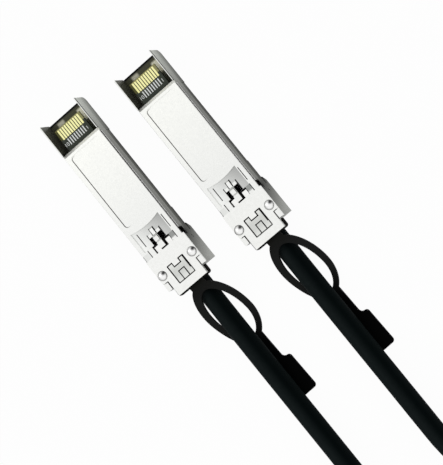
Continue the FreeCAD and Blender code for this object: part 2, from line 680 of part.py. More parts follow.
def tab_planform():
    """The tab's outline seen from above, as an upright prism turned a little to one side."""
    ring = ellipse_prism(RING_CENTRE, RING_A, RING_B)
    yoke = slab(YOKE_HALF, HEAD_END - 1, RING_CENTRE - RING_A / 2, 0, FAR)
    neck = slab(NECK_HALF, RING_CENTRE + RING_A / 2, HANDLE_START + HANDLE_LENGTH / 2, 0, FAR)
    handle = rounded_slab(HANDLE_HALF, HANDLE_START, HANDLE_START + HANDLE_LENGTH, 0, FAR, HANDLE_R)
    outline = ring.multiFuse([yoke, neck, handle]).removeSplitter()
    inner = [e for e in edges_along(outline, V(0, 0, 1)) if is_join(e.CenterOfMass)]
    outline = outline.makeFillet(TAB_JOIN_R, inner)
    outline = outline.cut(ellipse_prism(HOLE_CENTRE, HOLE_A, HOLE_B))
    outline.translate(V(TAB_OFFSET, 0, 0))
    outline.rotate(V(TAB_OFFSET, -HEAD_END, 0), V(0, 0, 1), TAB_YAW_DEG)
    return outline


def is_join(point):
    """Whether an upright edge lies where neck meets ring or handle."""
    across = abs(abs(point.x) - NECK_HALF) < 0.01
    return across and -point.y > RING_CENTRE


def ellipse_prism(centre, along, across):
    """Upright prism of an ellipse on the plug's centre line."""
    ellipse = Part.Ellipse(V(0, -centre - along, 0), V(across, -centre, 0), V(0, -centre, 0))
    return Part.Face(Part.Wire(ellipse.toShape())).extrude(V(0, 0, FAR))


def paddle_card():
    """Edge card: narrow front in the mouth, full width behind, bevelled at its front edge."""
    front = slab(CARD_FRONT_HALF, CARD_FRONT, CARD_SHOULDER + 1, CARD_BOTTOM_Z, CARD_TOP_Z)
    edges = [e for e in edges_along(front, V(1, 0, 0)) if e.CenterOfMass.y > -CARD_FRONT - 0.01]
    front = front.makeChamfer(CARD_BEVEL, edges)
    rear = slab(CARD_HALF, CARD_SHOULDER, CARD_END, CARD_BOTTOM_Z, CARD_TOP_Z)
    return front.fuse(rear).removeSplitter()


def contact_pads():
    """Gold contact pads on both faces of the card."""
    pads = []
    start = CARD_FRONT + PAD_START
    for i in range(PAD_COUNT):
        x = (i - (PAD_COUNT - 1) / 2) * PAD_PITCH
        for z in (CARD_TOP_Z, CARD_BOTTOM_Z - PAD_THICK):
            pads.append(block(x - PAD_WIDTH / 2, x + PAD_WIDTH / 2, start, start + PAD_LENGTH, z, z + PAD_THICK))
    return Part.makeCompound(pads)


def memory_chip():
    """Identification memory on the card."""
    half = CHIP_SIZE / 2
    return slab(half, CHIP_AT - half, CHIP_AT + half, CARD_TOP_Z, CARD_TOP_Z + CHIP_THICK)


def coupling_capacitors():
    """Two coupling capacitors on the receive pair."""
    parts = []
    for x in (-CAPACITOR_SPREAD / 2, CAPACITOR_SPREAD / 2):
        half = CAPACITOR_WIDTH / 2
        parts.append(block(x - half, x + half, CAPACITOR_AT, CAPACITOR_AT + CAPACITOR_LENGTH,
                           CARD_TOP_Z, CARD_TOP_Z + CAPACITOR_WIDTH))
    return Part.makeCompound(parts)


def wire_pair(side):
    """One shielded pair from the jacket's end up to the underside of the card, with bare wire tips."""
    x = side * PAIR_SPREAD
    low = CABLE_Z + PAIR_LIFT
    high = CARD_BOTTOM_Z - PAIR_THICK / 2 - CARD_FIT
    middle = (CARD_END + JACKET_END) / 2
    points = [V(x, -JACKET_END, low), V(x, -middle - 2, low), V(x, -middle + 2.5, high), V(x, -PAIR_TIP, high)]
    path = rounded_path(points, [4.0, 4.0])
    w = PAIR_WIDTH / 2
    t = PAIR_THICK / 2
    section = [V(x - w, -JACKET_END, low - t), V(x + w, -JACKET_END, low - t),
               V(x + w, -JACKET_END, low + t), V(x - w, -JACKET_END, low + t)]
    pair = path.makePipeShell([Part.makePolygon(section + section[:1])], True, False)
    wire_z = CARD_BOTTOM_Z - WIRE_D / 2
    tips = [rod(WIRE_D / 2, WIRE_TIP, PAIR_TIP + 0.5, x + k * WIRE_PITCH / 2, wire_z) for k in (-1, 1)]
    return pair.multiFuse(tips)


def crimp_ferrule():
    """Crimped metal ferrule on the jacket with the lug plate that the shells trap."""
    z0 = CABLE_Z - LUG_PLATE_HEIGHT / 2
    tube = rod(CABLE_R + FERRULE_WALL, FERRULE_START, FERRULE_END, 0, CABLE_Z)
    plate = slab(LUG_PLATE_HALF, LUG_PLATE_AT, LUG_PLATE_AT + LUG_PLATE_THICK, z0, z0 + LUG_PLATE_HEIGHT)
    hole = rod(CABLE_R + CABLE_FIT, FERRULE_START - 1, FERRULE_END + 1, 0, CABLE_Z)
    return tube.fuse(plate).cut(hole)


def strain_sleeve():
    """Shrunk sleeve around the jacket where it leaves the nose."""
    return ring_tube(CABLE_R + CABLE_FIT, CABLE_R + SLEEVE_WALL, SLEEVE_START, SLEEVE_END, CABLE_Z)


def jacket_end():
    """The cable's own end inside the plug, from the wire pairs to the sleeve's mouth."""
    return rod(CABLE_R, JACKET_END, SLEEVE_END, 0, CABLE_Z)


PLUG_PIECES = {
    "face_shell": face_shell,
    "back_shell": back_shell,
    "cover_plate": cover_plate,
    "cover_rivets": cover_rivets,
    "latch_slider": latch_slider,
    "return_spring": return_spring,
    "pull_tab": pull_tab,
    "paddle_card": paddle_card,
    "contact_pads": contact_pads,
    "memory_chip": memory_chip,
    "coupling_capacitors": coupling_capacitors,
    "transmit_pair": lambda: wire_pair(-1),
    "receive_pair": lambda: wire_pair(1),
    "crimp_ferrule": crimp_ferrule,
    "strain_sleeve": strain_sleeve,
    "jacket_end": jacket_end,
}

# Plug places: origin under the middle of the two plugs' own box
YAW = math.radians(TAB_YAW_DEG)
TAB_REACH = (HEAD_END + HANDLE_R + (HANDLE_START + HANDLE_LENGTH - HANDLE_R - HEAD_END) * math.cos(YAW)
             + (HANDLE_HALF - HANDLE_R) * math.sin(YAW))
FRONT_Y = (TAB_REACH + PLUG_LAG) / 2
PLUG_PLACES = {"a": V(-PLUG_GAP / 2, FRONT_Y, 0), "b": V(PLUG_GAP / 2, FRONT_Y - PLUG_LAG, 0)}

COIL_CENTRE = V(0, FRONT_Y - COIL_CENTRE_BACK, 0)
COIL_LOW_Z = COIL_LIFT + CABLE_R
COIL_HIGH_Z = COIL_LOW_Z + COIL_LAYER_RISE


def coil_tail(suffix):
    """Straight lead-in of a run: its turning point, its end at the tail and its start on the coil."""
    side = -1 if suffix == "a" else 1
    lean = math.radians(COIL_JOIN_DEG)
    on_coil = COIL_CENTRE + V(side * COIL_R_OUTER * math.cos(lean), COIL_R_OUTER * math.sin(lean),
                              COIL_LOW_Z if suffix == "a" else COIL_HIGH_Z)
    length = (COIL_R_OUTER * math.cos(lean) - PLUG_GAP / 2) / math.sin(lean)
    turn = V(side * PLUG_GAP / 2, on_coil.y + length * math.cos(lean), RUN_TURN_Z)
    end = on_coil + (turn - on_coil) * (TAIL_LENGTH / length)
    return turn, end, on_coil


def cable_route(suffix):
    """Corner points of the run from a plug's sleeve to the coil, in the part's frame."""
    place = PLUG_PLACES[suffix]
    turn, end, on_coil = coil_tail(suffix)
    points = [V(place.x, place.y - SLEEVE_END, CABLE_Z)]
    for back, sideways, height in (RUN_LEVEL, RUN_ON_TAB, RUN_OFF_TAB):
        points.append(V(place.x + sideways, place.y - back, height))
    return points + [turn, end]


def cable_run(suffix):
    """Plain tube of the run between plug and coil."""
    points = cable_route(suffix)
    radii = []
    for i in range(1, len(points) - 1):
        back = points[i - 1] - points[i]
        ahead = points[i + 1] - points[i]
        half_turn = (math.pi - back.getAngle(ahead)) / 2
        radii.append(0.45 * min(back.Length, ahead.Length) / math.tan(half_turn))
    print("cable_run_" + suffix, "bend radii", [round(r, 1) for r in radii])
    path = rounded_path(points, radii)
    circle = Part.Wire(Part.makeCircle(CABLE_R, points[0], points[1] - points[0]))
    tube = path.makePipeShell([circle], True, False)
    print("cable_run_" + suffix, "length", round(path.Length, 1), "volume ratio",
          round(tube.Volume / (math.pi * CABLE_R ** 2 * path.Length), 4))
    return tube


def cable_coil():
    """Outer shape of the coiled turns, with the two straight tails that the runs meet."""
    inner = COIL_R_INNER - CABLE_R
    outer = COIL_R_OUTER + CABLE_R
    bottom = COIL_LIFT
    height = COIL_HIGH_Z + CABLE_R - bottom
    ring = Part.makeCylinder(outer, height, COIL_CENTRE + V(0, 0, bottom))
    ring = ring.cut(Part.makeCylinder(inner, height, COIL_CENTRE + V(0, 0, bottom)))
    ring = ring.makeFillet(COIL_EDGE_R, [e for e in ring.Edges if isinstance(e.Curve, Part.Circle)])
    tails = []
    for suffix in PLUG_PLACES:
        turn, end, on_coil = coil_tail(suffix)
        tails.append(Part.makeCylinder(CABLE_R, TAIL_LENGTH, on_coil, end - on_coil))
    return ring.multiFuse(tails).removeSplitter()


def coil_tie():
    """Strap that holds the turns together, on the coil's far side."""
    inner = math.sqrt((COIL_R_INNER - CABLE_R) ** 2 - (TIE_WIDTH / 2) ** 2) - CABLE_FIT
    outer = COIL_R_OUTER + CABLE_R + CABLE_FIT
    bottom = COIL_LIFT - 0.05
    top = COIL_HIGH_Z + CABLE_R + 0.05
    y = COIL_CENTRE.y
    strap = Part.makeBox(TIE_WIDTH, outer - inner + 2 * TIE_THICK, top - bottom + 2 * TIE_THICK,
                         V(-TIE_WIDTH / 2, y - outer - TIE_THICK, bottom - TIE_THICK))
    hole = Part.makeBox(TIE_WIDTH, outer - inner, top - bottom, V(-TIE_WIDTH / 2, y - outer, bottom))
    strap = strap.makeFillet(COIL_EDGE_R, edges_along(strap, V(1, 0, 0)))
    hole = hole.makeFillet(COIL_EDGE_R - TIE_THICK, edges_along(hole, V(1, 0, 0)))
    return strap.cut(hole)


def save(name, shape):
    """Write one node."""
    shape.exportStep(os.path.join("parts", name + ".step"))
    solids = len(shape.Solids)
    print(name, "solids", solids, "volume", round(shape.Volume, 2), "valid", shape.isValid())


os.makedirs("parts", exist_ok=True)
for piece_name, make in PLUG_PIECES.items():
    for plug, place_at in PLUG_PLACES.items():
        piece = make()
        piece.translate(place_at)
        save(piece_name + "_" + plug, piece)
save("cable_run_a", cable_run("a"))
save("cable_run_b", cable_run("b"))
save("cable_coil", cable_coil())
save("coil_tie", coil_tie())
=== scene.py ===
import bpy
import math
from mathutils import Matrix, Vector


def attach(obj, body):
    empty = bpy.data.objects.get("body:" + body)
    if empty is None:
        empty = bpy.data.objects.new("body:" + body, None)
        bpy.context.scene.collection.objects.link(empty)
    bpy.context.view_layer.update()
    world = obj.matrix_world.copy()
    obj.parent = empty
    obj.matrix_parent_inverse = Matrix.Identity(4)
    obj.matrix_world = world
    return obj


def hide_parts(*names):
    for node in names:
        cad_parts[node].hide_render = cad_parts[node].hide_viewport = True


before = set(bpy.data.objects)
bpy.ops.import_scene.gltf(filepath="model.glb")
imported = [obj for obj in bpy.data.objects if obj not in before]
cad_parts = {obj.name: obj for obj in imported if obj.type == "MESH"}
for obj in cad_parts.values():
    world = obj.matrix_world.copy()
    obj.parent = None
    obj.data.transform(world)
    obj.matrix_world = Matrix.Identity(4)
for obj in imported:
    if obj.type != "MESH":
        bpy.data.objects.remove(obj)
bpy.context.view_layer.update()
root = "cable_assembly"
millimetres = 1000.0  # in one metre
# middle of each plug's connector end
plugs = {"a": Vector((-0.0125, 0.053553, 0)), "b": Vector((0.0125, 0.049553, 0))}
print("model loaded,", len(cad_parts), "nodes")


# camera, as the photograph was taken
view = {
    "place": (0.154469, -0.060154, 0.578896),
    "towards": (-0.25677, 0.09976, -0.96131),
    "up": (0.62517, 0.77566, -0.0865),
    "focalPixels": 2179.1,
    "imageHeight": 465,
    "sensor": 36,
    "near": 0.01,
    "far": 20,
}


def placeCamera(view):
    ahead = Vector(view["towards"]).normalized()
    right = ahead.cross(Vector(view["up"])).normalized()
    up = right.cross(ahead)
    bpy.ops.object.camera_add(location=view["place"])
    camera = bpy.context.object
    camera.rotation_euler = Matrix((right, up, -ahead)).transposed().to_euler()
    camera.data.sensor_width = view["sensor"]
    camera.data.lens = view["focalPixels"] * view["sensor"] / view["imageHeight"]
    camera.data.clip_start, camera.data.clip_end = view["near"], view["far"]
    bpy.context.scene.camera = camera


placeCamera(view)
bpy.context.scene.view_settings.view_transform = "Standard"


# shader arithmetic: a wire is a socket, and sums on it add Math nodes
class Wire:
    def __init__(self, tree, socket):
        self.tree, self.socket = tree, socket

    def maths(self, operation, first, second=None):
        node = self.tree.nodes.new("ShaderNodeMath")
        node.operation = operation
        for place, value in zip(node.inputs, (first, second)):
            feed(self.tree, place, value)
        return Wire(self.tree, node.outputs[0])

    def __add__(self, other):
        return self.maths("ADD", self, other)

    def __sub__(self, other):
        return self.maths("SUBTRACT", self, other)

    def __rsub__(self, other):
        return self.maths("SUBTRACT", other, self)

    def __mul__(self, other):
        return self.maths("MULTIPLY", self, other)

    def __pow__(self, other):
        return self.maths("POWER", self, other)

    __radd__ = __add__
    __rmul__ = __mul__

    def above(self, limit):
        return self.maths("GREATER_THAN", self, limit)

    def larger(self, other):
        return self.maths("MAXIMUM", self, other)

    def clamped(self):
        return self.maths("MINIMUM", self.larger(0.0), 1.0)

    def size(self):
        return self.maths("ABSOLUTE", self)

    def wave(self):
        return self.maths("SINE", self)

    # straight from one value to another between two limits, and level outside them
    def ramp(self, first, last, start=0.0, end=1.0):
        node = self.tree.nodes.new("ShaderNodeMapRange")
        limits = {"Value": self, "From Min": first, "From Max": last, "To Min": start, "To Max": end}
        for key, value in limits.items():
            feed(self.tree, node.inputs[key], value)
        return Wire(self.tree, node.outputs[0])

    # 1 between two limits, 0 outside them
    def within(self, low, high, soft):
        return self.ramp(low - soft, low + soft) * self.ramp(high + soft, high - soft)


# a wire is linked to a socket, and anything else is set on it
def feed(tree, place, value):
    if isinstance(value, Wire):
        tree.links.new(value.socket, place)
    elif value is not None:
        place.default_value = (*value, 1.0) if place.type == "RGBA" else value


class Finish:
    def __init__(self, name, world=False):
        self.owner = bpy.data.worlds.new(name) if world else bpy.data.materials.new(name)
        self.owner.use_nodes = True
        self.tree = self.owner.node_tree
        self.tree.nodes.clear()

    def add(self, kind, settings=None, values=None, output=0):
        node = self.tree.nodes.new("ShaderNode" + kind)
        for key, value in (settings or {}).items():
            setattr(node, key, value)
        for key, value in (values or {}).items():
            feed(self.tree, node.inputs[key], value)
        return Wire(self.tree, node.outputs[output])

    def place(self):
        return self.add("TexCoord", output="Object")

    def parts(self, vector):
        outputs = self.add("SeparateXYZ", values={"Vector": vector}).socket.node.outputs
        return [Wire(self.tree, output) for output in outputs]

    # millimetres across a plug, back from its connector end, and up
    def plugPlace(self, plug):
        across, along, up = self.parts(self.place())
        return (across - plug.x) * millimetres, (plug.y - along) * millimetres, up * millimetres

    def noise(self, scale, detail, roughness=0.5):
        return self.add("TexNoise", values={
            "Vector": self.place(), "Scale": scale, "Detail": detail, "Roughness": roughness})

    # inputs 6 and 7 and output 2 are the Mix node's colours
    def mix(self, mask, first, second):
        return self.add("Mix", {"data_type": "RGBA"}, {"Factor": mask, 6: first, 7: second}, 2)

    # 1 inside a box in millimetres, given as limits across, back and up, or None where it has none
    def inside(self, place, box, soft):
        mask = None
        for wire, limits in zip(place, box):
            if limits:
                one = wire.within(*limits, soft)
                mask = one if mask is None else mask * one
        return mask

    # a patch is a box, how strongly it is painted, and its tone
    def patched(self, tone, place, patches, soft):
        for box, strength, plain in patches:
            tone = self.mix(self.inside(place, box, soft) * strength, tone, plain)
        return tone

    def bump(self, height, distance, strength):
        return self.add("Bump", values={"Height": height, "Distance": distance, "Strength": strength})

    # everything that reaches a socket of the shader; a constant is set on the socket itself
    def done(self, **values):
        named = {key.replace("_", " "): value for key, value in values.items()}
        surface = self.add("BsdfPrincipled", values=named)
        out = self.tree.nodes.new("ShaderNodeOutputMaterial")
        self.tree.links.new(surface.socket, out.inputs["Surface"])
        return self.owner


# least roughness, and what the grain adds to it
def rough(grain, least, swing):
    return least + grain * swing


# light: a white tent overhead, darker low down on the right, and a pale floor
studio = {
    "white": (1.0, 1.0, 1.0),
    "tent": 0.97,
    "horizon": 0.34,
    "tentRise": 1.6,
    "darkSide": 0.12,
    "darkStart": 0.1,
    "darkSpread": 1.3,
    "darkRise": 1.1,
    "light": 0.8,
    "lampPower": 0.35,
    "lampSize": 0.3,
    "lampPlace": (-0.42, 0.36, 0.5),
    "floor": (0.86, 0.86, 0.86),
    "floorWhite": 0.965,
    "floorSize": 1.0,
    "floorPlace": (0, 0, -0.0001),
}


# seen by the camera, by gloss, and through glass
def lightRays(finish):
    camera = finish.add("LightPath", output="Is Camera Ray")
    outputs = camera.socket.node.outputs
    glossy = Wire(finish.tree, outputs["Is Glossy Ray"])
    through = Wire(finish.tree, outputs["Is Transmission Ray"])
    return camera, glossy, through


def lightStudio(studio):
    world = Finish("studioTent", world=True)
    across, _, up = world.parts(world.add("TexCoord", output="Generated"))
    height = (up * studio["tentRise"]).clamped()
    low = 1.0 - (up * studio["darkRise"]).clamped()
    right = ((across - studio["darkStart"]) * studio["darkSpread"]).clamped() * low
    tent = studio["horizon"] + height * (studio["tent"] - studio["horizon"])
    level = tent * (1.0 - right * (1 - studio["darkSide"]))
    camera, glossy, through = lightRays(world)
    rest = 1.0 - (camera + glossy + through).clamped()
    strength = camera + glossy * level + through * level + rest * level * studio["light"]
    sky = world.add("Background", values={"Color": studio["white"], "Strength": strength})
    out = world.tree.nodes.new("ShaderNodeOutputWorld")
    world.tree.links.new(sky.socket, out.inputs["Surface"])
    bpy.context.scene.world = world.owner
    bpy.ops.object.light_add(type="AREA", location=studio["lampPlace"])
    lamp = bpy.context.object
    lamp.data.energy = studio["lampPower"]
    lamp.data.size = studio["lampSize"]
    lamp.rotation_euler = Vector(studio["lampPlace"]).to_track_quat("Z", "Y").to_euler()


def layFloor(studio):
    paper = Finish("paleFloor")
    plain = paper.add("BsdfDiffuse", values={"Color": studio["floor"]})
    white = paper.add("Emission", values={"Color": studio["white"], "Strength": 1.0})
    camera, glossy, through = lightRays(paper)
    seen = (camera + glossy + through).clamped()
    both = paper.add("MixShader", values={0: seen * studio["floorWhite"], 1: plain, 2: white})
    out = paper.tree.nodes.new("ShaderNodeOutputMaterial")
    paper.tree.links.new(both.socket, out.inputs["Surface"])
    bpy.ops.object.select_all(action="DESELECT")
    bpy.ops.mesh.primitive_plane_add(size=studio["floorSize"], location=studio["floorPlace"])
    floor = bpy.context.object
    floor.name = "floorSheet"
    floor.data.materials.append(paper.owner)


lightStudio(studio)
layFloor(studio)
print("camera, light and floor ready")


# cable: one smooth line from plug to coil to plug
cable = {
    "diameter": 0.006,
    "pointRadius": 0.003,  # Blender pads a curve's bounds by its points' radius
    "roundness": 8,
    "smoothness": 10,
    "length": 0.998,
    "routeA": [(-0.0125, -0.006647, 0.0041), (-0.0125, -0.016447, 0.0041), (-0.0123, -0.032447, 0.00485),
               (-0.0122, -0.059447, 0.0046), (-0.0125, -0.094607, 0.0031)],
    "routeB": [(0.0125, -0.010647, 0.0041), (0.0125, -0.020447, 0.0041), (0.0127, -0.036447, 0.00485),
               (0.0128, -0.063447, 0.0046), (0.0125, -0.094607, 0.0031)],
    "coilCentre": (0, -0.152447),
    "coilOuter": 0.0374,
    "coilInner": 0.0266,
    "coilLow": 0.004,
    "coilHigh": 0.0102,
    "firstAngle": 153,
    "sweep": 1314,
    "inwardPerTurn": 0.00605,
    "climb": 60,
    "pointsPerTurn": 24,
    "dull": (0.0074, 0.0104, 0.0107),
    "sheen": (0.0124, 0.0168, 0.0172),
    # painted shade for the side that faces right
    "deep": (0.0008, 0.0024, 0.0026),
    "deepSide": (0.15, 0.85, 0.45),
    "skin": (900, 4),
    "fine": (5200, 2),
    "roughness": (0.5, 0.14),
    "specular": 0.008,
    "relief": (0.00002, 0.5),
}


# turns inwards below, climbs, and turns outwards above
def coilPoints(cable):
    points = []
    count = round(cable["sweep"] / 360 * cable["pointsPerTurn"])
    middle = cable["sweep"] / 2
    rise = cable["coilHigh"] - cable["coilLow"]
    for i in range(count + 1):
        turned = cable["sweep"] * i / count
        fromEnd = min(turned, cable["sweep"] - turned)
        radius = max(cable["coilOuter"] - cable["inwardPerTurn"] * fromEnd / 360, cable["coilInner"])
        climbed = min(max((turned - middle) / cable["climb"], -1), 1)
        eased = 0.5 + 0.75 * climbed - 0.25 * climbed ** 3  # from 0 to 1, level at both ends
        angle = math.radians(cable["firstAngle"] + turned)
        points.append((cable["coilCentre"][0] + radius * math.cos(angle),
                       cable["coilCentre"][1] + radius * math.sin(angle),
                       cable["coilLow"] + rise * eased))
    return points


def layCable(cable):
    bpy.ops.object.select_all(action="DESELECT")
    line = bpy.data.curves.new("cableJacket", "CURVE")
    line.dimensions = "3D"
    line.bevel_depth = cable["diameter"] / 2 / cable["pointRadius"]
    line.bevel_resolution = cable["roundness"]
    line.resolution_u = cable["smoothness"]
    line.use_fill_caps = True
    points = cable["routeA"] + coilPoints(cable) + cable["routeB"][::-1]
    run = line.splines.new("NURBS")
    run.points.add(len(points) - 1)
    for point, place in zip(run.points, points):
        point.co = (*place, 1)
        point.radius = cable["pointRadius"]
    run.order_u = 3
    run.use_endpoint_u = True
    jacket = bpy.data.objects.new("cableJacket", line)
    bpy.context.scene.collection.objects.link(jacket)
    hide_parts("cable_run_a", "cable_run_b", "cable_coil")
    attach(jacket, root)
    return jacket


# matt black, with painted shade deepest along the side that faces right
def jacketFinish(cable):
    finish = Finish("cableJacketBlack")
    side = finish.parts(finish.add("TexCoord", output="Normal"))[0]
    skin = finish.noise(*cable["skin"])
    fine = finish.noise(*cable["fine"])
    # painted shade: darker where the surface faces right
    deep = side.within(*cable["deepSide"])
    tone = finish.mix(skin, cable["dull"], cable["sheen"])
    return finish.done(
        Base_Color=finish.mix(deep, tone, cable["deep"]),
        Roughness=rough(skin, *cable["roughness"]),
        Specular_IOR_Level=cable["specular"],
        Normal=finish.bump(fine, *cable["relief"]))


jacket = layCable(cable)
jacket.data.materials.append(jacketFinish(cable))
print("cable laid")


# dressed pieces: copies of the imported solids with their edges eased, smoothed up to an angle in degrees
dressings = {
    "face_shell": {"ease": 0.00005, "smooth": 8, "slot": "shell_metal"},
    "back_shell": {"ease": 0.00005, "smooth": 25, "slot": "shell_metal"},
    "cover_plate": {"ease": 0.00005, "smooth": 25, "slot": "plate_metal"},
    "cover_rivets": {"ease": 0, "smooth": 40, "slot": "rivet_metal"},
    "latch_slider": {"ease": 0.00005, "smooth": 25, "slot": "plate_metal"},
    "pull_tab": {"ease": 0.00015, "smooth": 30, "slot": "tab_plastic"},
    "paddle_card": {"ease": 0.00003, "smooth": 25, "slot": "card_laminate"},
    "contact_pads": {"ease": 0, "smooth": 25, "slot": "contact_gold"},
}
tieDressing = {"ease": 0.0006, "smooth": 40, "slot": "tie_fabric"}
movingPieces = ("latch_slider", "pull_tab")
easing = {"merge": 0.000001, "flatWithin": 0.5, "segments": 2, "fromAngle": 40, "faceWeight": 100}


def dress(name, dressing, body):
    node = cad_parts[name]
    mesh = node.data.copy()
    mesh.transform(node.matrix_world)
    piece = bpy.data.objects.new(name.title().replace("_", "") + "Dressed", mesh)
    bpy.context.scene.collection.objects.link(piece)
    bpy.ops.object.select_all(action="DESELECT")
    piece.select_set(True)
    bpy.context.view_layer.objects.active = piece
    bpy.ops.object.mode_set(mode="EDIT")
    bpy.ops.mesh.select_all(action="SELECT")
    bpy.ops.mesh.remove_doubles(threshold=easing["merge"])
    bpy.ops.mesh.dissolve_limited(angle_limit=math.radians(easing["flatWithin"]))
    bpy.ops.mesh.quads_convert_to_tris()
    bpy.ops.object.mode_set(mode="OBJECT")
    bpy.ops.object.shade_smooth_by_angle(angle=math.radians(dressing["smooth"]))
    if dressing["ease"]:
        bevel = piece.modifiers.new("easedEdges", "BEVEL")
        bevel.width = dressing["ease"]
        bevel.segments = easing["segments"]
        bevel.limit_method = "ANGLE"
        bevel.angle_limit = math.radians(easing["fromAngle"])
        bevel.harden_normals = True
        bpy.ops.object.modifier_apply(modifier=bevel.name)
    flatter = piece.modifiers.new("flatFaces", "WEIGHTED_NORMAL")
    flatter.keep_sharp = True
    flatter.weight = easing["faceWeight"]
    bpy.ops.object.modifier_apply(modifier=flatter.name)
    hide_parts(node.name)
    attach(piece, body)
    return piece


pieces = {"coil_tie": dress("coil_tie", tieDressing, root)}
for name, dressing in dressings.items():
    for plug in plugs:
        body = "release_" + plug if name in movingPieces else root
        pieces[name + "_" + plug] = dress(name + "_" + plug, dressing, body)
print("pieces dressed")


# lid and top of the nose; boxes and ramps are millimetres across, back from the connector end, and up
lid = {
    "bright": (0.985, 0.99, 0.95),
    "low": (0.90, 0.905, 0.885),
    "fade": (14, 38),
    "mottle": (0.80, 0.81, 0.79),
    "cloud": (1500, 4, 0.6),
    "cloudRange": (0.4, 0.7),
    "cloudShare": 0.3,
    "grain": (3600, 3),
    "grainRange": (0.45, 0.7),
    "grainShare": 0.35,
    "roughness": (0.37, 0.1),
    "specular": 0.1,
    "relief": (0.00003, 0.5),
    "crisp": 0.02,
    "soft": 0.04,
    # latch field, with painted shade, darker to the right and towards its front
    "field": ((-5.3, 4.8), (38.8, 47.3), (10.2, 10.77)),
    "fieldLight": (0.94, 0.95, 0.93),
    "fieldDark": (0.40, 0.405, 0.395),
    "fieldAcross": (-5.3, 4.8, 0.0, 0.8),
    "fieldBack": (44.0, 39.5, 0.0, 0.2),
    # raised pad under the plate's window
    "pad": ((-3.0, 3.0), (52.0, 58.4), (10.86, 11.5)),
    "padLight": (0.84, 0.85, 0.82),
    "padDark": (0.66, 0.67, 0.645),
    "padMiddle": (53.2, 57.2, 1.2),
    # shadow line round the left side of the label recess
    "labelLine": (0.04, 0.04, 0.035),
    "labelHalf": 5.1,
    "labelMiddle": 24.7,
    "labelHalfLength": 12.5,
    "labelCorner": 1.0,
    "lineInside": 0.16,
    "lineOutside": 0.02,
    "lineSoft": 0.03,
    "lineAcross": (-3.4, -5.0),
    "lineShare": 0.95,
    # painted shade: the lowered step right of the comb, a slightly darker block on the left, a dark patch
    # at the left edge by the nose, a black line down the right side of the pad, and the lid's front end
    "patches": [
        (((3.3, 4.95), (45.5, 46.9), (10.6, 10.9)), 0.9, (0.30, 0.31, 0.30)),
        (((-6.5, -4.7), (46.0, 47.8), (10.6, 11.2)), 0.8, (0.76, 0.77, 0.75)),
        (((-6.7, -6.36), (46.1, 47.9), (10.3, 11.3)), 0.85, (0.07, 0.07, 0.065)),
        (((2.36, 2.8), (52.4, 56.4), (10.86, 11.5)), 1.0, (0.01, 0.01, 0.01)),
        ((None, (11.2, 11.62), (10.2, 11.04)), 0.9, (0.46, 0.48, 0.45)),
    ],
    # gaps and cut sides that no light reaches
    "deep": (0.006, 0.006, 0.005),
    "black": [
        ((-6.3, 6.3), (11.8, 60.0), (8.0, 10.66)),
        ((-3.0, 3.0), (51.9, 58.5), (8.0, 10.9)),
        ((5.06, 5.34), (40.0, 44.5), (8.0, 10.98)),
        ((-4.11, -3.83), (40.0, 44.5), (8.0, 10.66)),
        ((4.72, 5.12), (45.5, 47.9), (8.0, 11.0)),
        ((-4.46, -4.15), (45.5, 47.9), (8.0, 11.0)),
        ((6.36, 7.0), (11.7, 47.7), (8.0, 10.95)),
        ((-7.0, -6.36), (11.7, 47.7), (8.0, 10.72)),
    ],
}


# 1 along the edge of the label recess, on its left side
def labelLine(across, back, lid):
    corner = lid["labelCorner"]
    fromSide = (across.size() - (lid["labelHalf"] - corner)).larger(0.0)
    fromEnd = ((back - lid["labelMiddle"]).size() - (lid["labelHalfLength"] - corner)).larger(0.0)
    edge = (fromSide * fromSide + fromEnd * fromEnd) ** 0.5
    line = edge.within(corner - lid["lineInside"], corner + lid["lineOutside"], lid["lineSoft"])
    return line * across.ramp(*lid["lineAcross"]) * lid["lineShare"]


def lidFinish(plug, lid):
    finish = Finish("castLid")
    place = finish.plugPlace(plug)
    across, back = place[:2]
    cloud = finish.noise(*lid["cloud"])
    grain = finish.noise(*lid["grain"])
    tone = finish.mix(back.ramp(*lid["fade"]), lid["bright"], lid["low"])
    tone = finish.mix(cloud.ramp(*lid["cloudRange"]) * lid["cloudShare"], tone, lid["mottle"])
    tone = finish.mix(grain.ramp(*lid["grainRange"]) * lid["grainShare"], tone, lid["mottle"])
    # painted shade on the latch field, deepest at its right front corner
    shade = across.ramp(*lid["fieldAcross"]) + back.ramp(*lid["fieldBack"])
    fieldTone = finish.mix(shade, lid["fieldLight"], lid["fieldDark"])
    tone = finish.mix(finish.inside(place, lid["field"], lid["crisp"]), tone, fieldTone)
    padTone = finish.mix(back.within(*lid["padMiddle"]), lid["padLight"], lid["padDark"])
    tone = finish.mix(finish.inside(place, lid["pad"], lid["crisp"]), tone, padTone)
    tone = finish.mix(labelLine(across, back, lid), tone, lid["labelLine"])
    # painted shade from the patches
    tone = finish.patched(tone, place, lid["patches"], lid["soft"])
    black = None
    for box in lid["black"]:
        one = finish.inside(place, box, lid["crisp"])
        black = one if black is None else black.larger(one)
    return finish.done(
        Base_Color=finish.mix(black, tone, lid["deep"]),
        Metallic=1.0 - black,
        Roughness=rough(grain, *lid["roughness"]),
        Specular_IOR_Level=lid["specular"],
        Normal=finish.bump(grain, *lid["relief"]))
